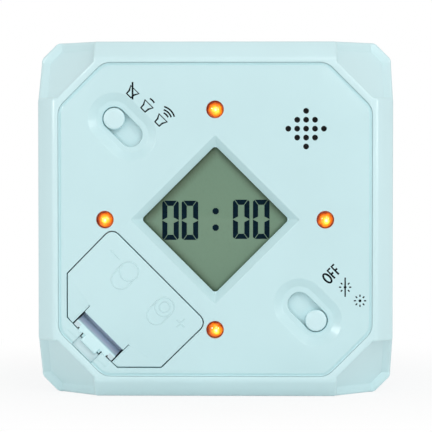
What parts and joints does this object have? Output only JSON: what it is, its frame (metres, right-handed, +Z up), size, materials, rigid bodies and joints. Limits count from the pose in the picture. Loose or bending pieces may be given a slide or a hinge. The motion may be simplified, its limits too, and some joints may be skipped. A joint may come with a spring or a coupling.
{
  "type": "cube timer",
  "caption": "Cube desk timer with bevelled edges, a diamond display, corner slide switches, amber lamps and a battery cover with a spring latch.",
  "frame": {"origin": "centre of the underside, at the level the cube stands on", "axes": "+Z up, display face towards -Y, its right-hand side towards +X"},
  "size_m": [0.0604, 0.0604, 0.0603],
  "materials": {
    "shell_plastic": "satin",
    "panel_plastic": "fine matt",
    "display_glass": "gloss",
    "lamp_resin": "clear gloss",
    "plated_steel": "plated",
    "nickel_contact": "plated",
    "black_plastic": "matt",
    "grey_rubber": "matt",
    "board_laminate": "satin",
    "black_epoxy": "gloss",
    "cell_sleeve": "printed sleeve",
    "cradle_plastic": "matt"
  },
  "bodies": {
    "case": {"cube_shell": "shell_plastic", "display_panel": "panel_plastic", "battery_cell_left": "cell_sleeve", "battery_cell_right": "cell_sleeve", "battery_cradle": "cradle_plastic", "negative_strip": "nickel_contact", "positive_strip": "nickel_contact", "rear_spring": "nickel_contact", "lcd_glass": "display_glass", "lcd_holder": "black_plastic", "connector_left": "grey_rubber", "connector_right": "grey_rubber", "main_board": "board_laminate", "board_screw_1": "plated_steel", "board_screw_2": "plated_steel", "board_screw_3": "plated_steel", "board_screw_4": "plated_steel", "volume_switch_case": "plated_steel", "mode_switch_case": "plated_steel", "led_top": "lamp_resin", "led_left": "lamp_resin", "led_right": "lamp_resin", "led_bottom": "lamp_resin", "sounder": "black_plastic", "sounder_gasket": "grey_rubber", "controller_blob": "black_epoxy", "tilt_sensor": "black_plastic", "watch_crystal": "plated_steel", "capacitor": "plated_steel"},
    "cover": {"battery_cover": "panel_plastic", "cover_contact_plate": "nickel_contact", "cover_spring": "nickel_contact"},
    "latch": {"cover_latch": "panel_plastic"},
    "volume_slider": {"volume_knob": "shell_plastic", "volume_switch_lever": "black_plastic"},
    "mode_slider": {"mode_knob": "shell_plastic", "mode_switch_lever": "black_plastic"}
  },
  "joints": [
    {"name": "cover_hinge", "type": "hinge", "parent": "case", "child": "cover", "pos_m": [-0.00944, -0.03005, 0.02071], "axis": [-0.7071, 0, 0.7071], "range_deg": [0, 75]},
    {"name": "latch_flex", "type": "hinge", "parent": "cover", "child": "latch", "pos_m": [-0.01952, -0.0254, 0.01063], "axis": [-0.7071, 0, 0.7071], "range_deg": [0, 10], "stiffness_Nm_per_rad": 0.02},
    {"name": "volume_slide", "type": "slide", "parent": "case", "child": "volume_slider", "axis": [0.7071, 0, -0.7071], "range_m": [0, 0.0039]},
    {"name": "mode_slide", "type": "slide", "parent": "case", "child": "mode_slider", "axis": [-0.7071, 0, 0.7071], "range_m": [0, 0.0039]}
  ]
}
